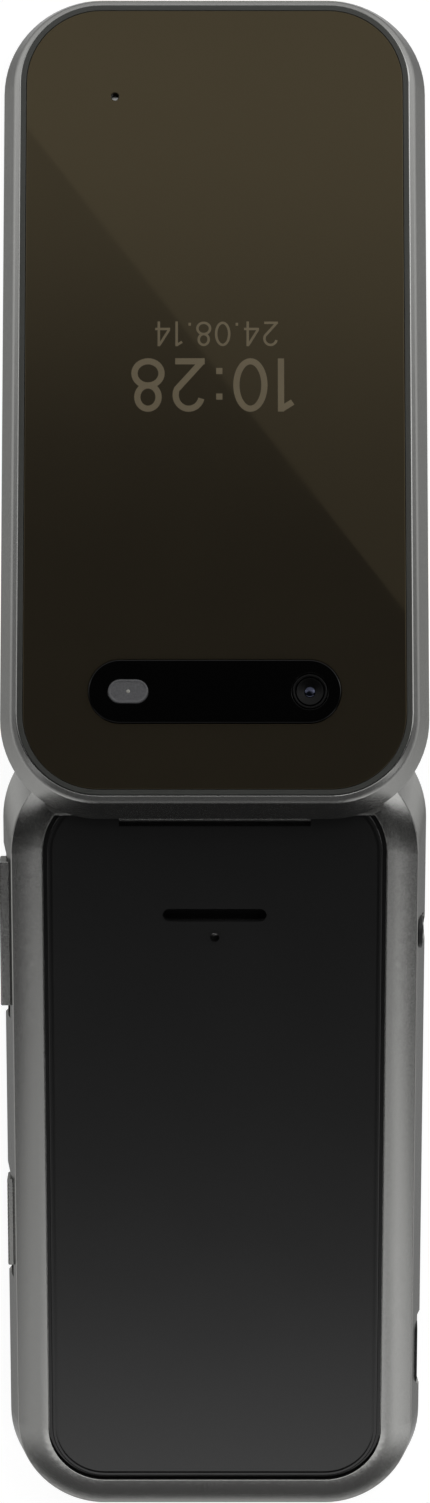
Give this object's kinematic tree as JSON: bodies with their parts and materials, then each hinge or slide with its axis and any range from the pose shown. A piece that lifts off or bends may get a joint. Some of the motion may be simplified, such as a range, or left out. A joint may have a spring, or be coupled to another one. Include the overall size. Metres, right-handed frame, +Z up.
{
  "type": "flip phone",
  "caption": "Open flip phone standing on its two far edges: lid with dark outer glass and camera window, base with keypad, side keys, sockets and lift-off back cover, joined by a hinge.",
  "frame": {"origin": "middle of the phone's footprint, on the surface that it stands on", "axes": "+X along the hinge, to the audio jack's side; +Y from the base towards the lid; +Z up"},
  "size_m": [0.0555, 0.2004, 0.0311],
  "materials": {
    "silver_paint": "metallic silver paint, satin",
    "outer_glass": "polished, dark brown tint",
    "black_glass": "polished black",
    "black_trim": "semi-gloss black",
    "dark_cover": "fine matt texture, dark grey",
    "front_plastic": "satin, dark grey",
    "key_plastic": "satin, dark grey",
    "key_silver": "satin silver",
    "side_key_plastic": "satin silver",
    "lens_glass": "coated lens",
    "lens_metal": "dark anodised",
    "flash_plastic": "frosted, fresnel pattern",
    "display_glass": "polished",
    "display_panel": "lit panel",
    "circuit_board": "solder mask",
    "spring_steel": "bright",
    "silicone": "matt",
    "battery_wrap": "printed film, bare",
    "black_plastic": "moulded",
    "steel": "turned",
    "contact_gold": "plated",
    "fine_mesh": "black woven mesh",
    "polyimide": "amber film",
    "bumper_rubber": "matt"
  },
  "bodies": {
    "base": {"base_housing": "silver_paint", "front_plate": "front_plastic", "battery": "battery_wrap", "battery_contacts": "contact_gold", "main_board": "circuit_board", "key_domes": "spring_steel", "keypad_membrane": "silicone", "side_switches": "black_plastic", "audio_jack": "black_plastic", "usb_socket": "spring_steel", "loudspeaker": "black_plastic", "speaker_mesh": "fine_mesh", "vibration_motor": "steel", "sim_holder": "spring_steel", "antenna_carrier": "black_plastic", "shield_can": "spring_steel", "base_screws": "steel", "hinge_shaft": "steel", "hinge_bush": "black_plastic", "flex_base_side": "polyimide"},
    "lid": {"lid_frame": "silver_paint", "glass_trim": "black_trim", "cover_glass": "outer_glass", "camera_window": "black_glass", "camera_lens_ring": "lens_metal", "camera_lens": "lens_glass", "flash_lens": "flash_plastic", "camera_module": "black_plastic", "lid_board": "circuit_board", "outer_display": "display_panel", "main_display": "display_panel", "lid_inner_cover": "front_plastic", "main_display_window": "display_glass", "earpiece_mesh": "fine_mesh", "earpiece": "black_plastic", "lid_bumpers": "bumper_rubber", "lid_screws": "steel", "hinge_cartridge": "steel", "flex_lid_side": "polyimide"},
    "back_cover": {"back_cover": "dark_cover"},
    "volume_key": {"volume_key": "side_key_plastic"},
    "side_key": {"side_key": "side_key_plastic"},
    "nav_ring": {"nav_ring": "key_silver"},
    "select_key": {"select_key": "key_plastic"},
    "soft_key_left": {"soft_key_left": "key_plastic"},
    "soft_key_right": {"soft_key_right": "key_plastic"},
    "call_key": {"call_key": "key_plastic"},
    "end_key": {"end_key": "key_plastic"},
    "key_1": {"key_1": "key_plastic"},
    "key_2": {"key_2": "key_plastic"},
    "key_3": {"key_3": "key_plastic"},
    "key_4": {"key_4": "key_plastic"},
    "key_5": {"key_5": "key_plastic"},
    "key_6": {"key_6": "key_plastic"},
    "key_7": {"key_7": "key_plastic"},
    "key_8": {"key_8": "key_plastic"},
    "key_9": {"key_9": "key_plastic"},
    "key_star": {"key_star": "key_plastic"},
    "key_0": {"key_0": "key_plastic"},
    "key_hash": {"key_hash": "key_plastic"}
  },
  "joints": [
    {"name": "lid_hinge", "type": "hinge", "parent": "base", "child": "lid", "pos_m": [0, 0.0001, 0.01822], "axis": [1, 0, 0], "range_deg": [-158.73, 0]},
    {"name": "back_cover_lift", "type": "slide", "parent": "base", "child": "back_cover", "axis": [0, -0.136, 0.9907], "range_m": [0, 0.02]},
    {"name": "volume_rock", "type": "hinge", "parent": "base", "child": "volume_key", "pos_m": [-0.0248, -0.0209, 0.01624], "axis": [0, -0.136, 0.9907], "range_deg": [-1.2, 1.2], "stiffness_Nm_per_rad": 0.05},
    {"name": "side_key_press", "type": "slide", "parent": "base", "child": "side_key", "axis": [1, 0, 0], "range_m": [0, 0.0003], "stiffness_N_per_m": 2000, "springref_m": -0.0005},
    {"name": "nav_ring_rock", "type": "hinge", "parent": "base", "child": "nav_ring", "pos_m": [0, -0.02175, 0.01199], "axis": [1, 0, 0], "range_deg": [-1.2, 1.2], "stiffness_Nm_per_rad": 0.05},
    {"name": "select_key_press", "type": "slide", "parent": "base", "child": "select_key", "axis": [0, -0.136, 0.9907], "range_m": [0, 0.00035], "stiffness_N_per_m": 2000, "springref_m": -0.0005},
    {"name": "soft_key_left_press", "type": "slide", "parent": "base", "child": "soft_key_left", "axis": [0, -0.136, 0.9907], "range_m": [0, 0.00035], "stiffness_N_per_m": 2000, "springref_m": -0.0005},
    {"name": "soft_key_right_press", "type": "slide", "parent": "base", "child": "soft_key_right", "axis": [0, -0.136, 0.9907], "range_m": [0, 0.00035], "stiffness_N_per_m": 2000, "springref_m": -0.0005},
    {"name": "call_key_press", "type": "slide", "parent": "base", "child": "call_key", "axis": [0, -0.136, 0.9907], "range_m": [0, 0.00035], "stiffness_N_per_m": 2000, "springref_m": -0.0005},
    {"name": "end_key_press", "type": "slide", "parent": "base", "child": "end_key", "axis": [0, -0.136, 0.9907], "range_m": [0, 0.00035], "stiffness_N_per_m": 2000, "springref_m": -0.0005},
    {"name": "key_1_press", "type": "slide", "parent": "base", "child": "key_1", "axis": [0, -0.136, 0.9907], "range_m": [0, 0.00035], "stiffness_N_per_m": 2000, "springref_m": -0.0005},
    {"name": "key_2_press", "type": "slide", "parent": "base", "child": "key_2", "axis": [0, -0.136, 0.9907], "range_m": [0, 0.00035], "stiffness_N_per_m": 2000, "springref_m": -0.0005},
    {"name": "key_3_press", "type": "slide", "parent": "base", "child": "key_3", "axis": [0, -0.136, 0.9907], "range_m": [0, 0.00035], "stiffness_N_per_m": 2000, "springref_m": -0.0005},
    {"name": "key_4_press", "type": "slide", "parent": "base", "child": "key_4", "axis": [0, -0.136, 0.9907], "range_m": [0, 0.00035], "stiffness_N_per_m": 2000, "springref_m": -0.0005},
    {"name": "key_5_press", "type": "slide", "parent": "base", "child": "key_5", "axis": [0, -0.136, 0.9907], "range_m": [0, 0.00035], "stiffness_N_per_m": 2000, "springref_m": -0.0005},
    {"name": "key_6_press", "type": "slide", "parent": "base", "child": "key_6", "axis": [0, -0.136, 0.9907], "range_m": [0, 0.00035], "stiffness_N_per_m": 2000, "springref_m": -0.0005},
    {"name": "key_7_press", "type": "slide", "parent": "base", "child": "key_7", "axis": [0, -0.136, 0.9907], "range_m": [0, 0.00035], "stiffness_N_per_m": 2000, "springref_m": -0.0005},
    {"name": "key_8_press", "type": "slide", "parent": "base", "child": "key_8", "axis": [0, -0.136, 0.9907], "range_m": [0, 0.00035], "stiffness_N_per_m": 2000, "springref_m": -0.0005},
    {"name": "key_9_press", "type": "slide", "parent": "base", "child": "key_9", "axis": [0, -0.136, 0.9907], "range_m": [0, 0.00035], "stiffness_N_per_m": 2000, "springref_m": -0.0005},
    {"name": "key_star_press", "type": "slide", "parent": "base", "child": "key_star", "axis": [0, -0.136, 0.9907], "range_m": [0, 0.00035], "stiffness_N_per_m": 2000, "springref_m": -0.0005},
    {"name": "key_0_press", "type": "slide", "parent": "base", "child": "key_0", "axis": [0, -0.136, 0.9907], "range_m": [0, 0.00035], "stiffness_N_per_m": 2000, "springref_m": -0.0005},
    {"name": "key_hash_press", "type": "slide", "parent": "base", "child": "key_hash", "axis": [0, -0.136, 0.9907], "range_m": [0, 0.00035], "stiffness_N_per_m": 2000, "springref_m": -0.0005}
  ]
}
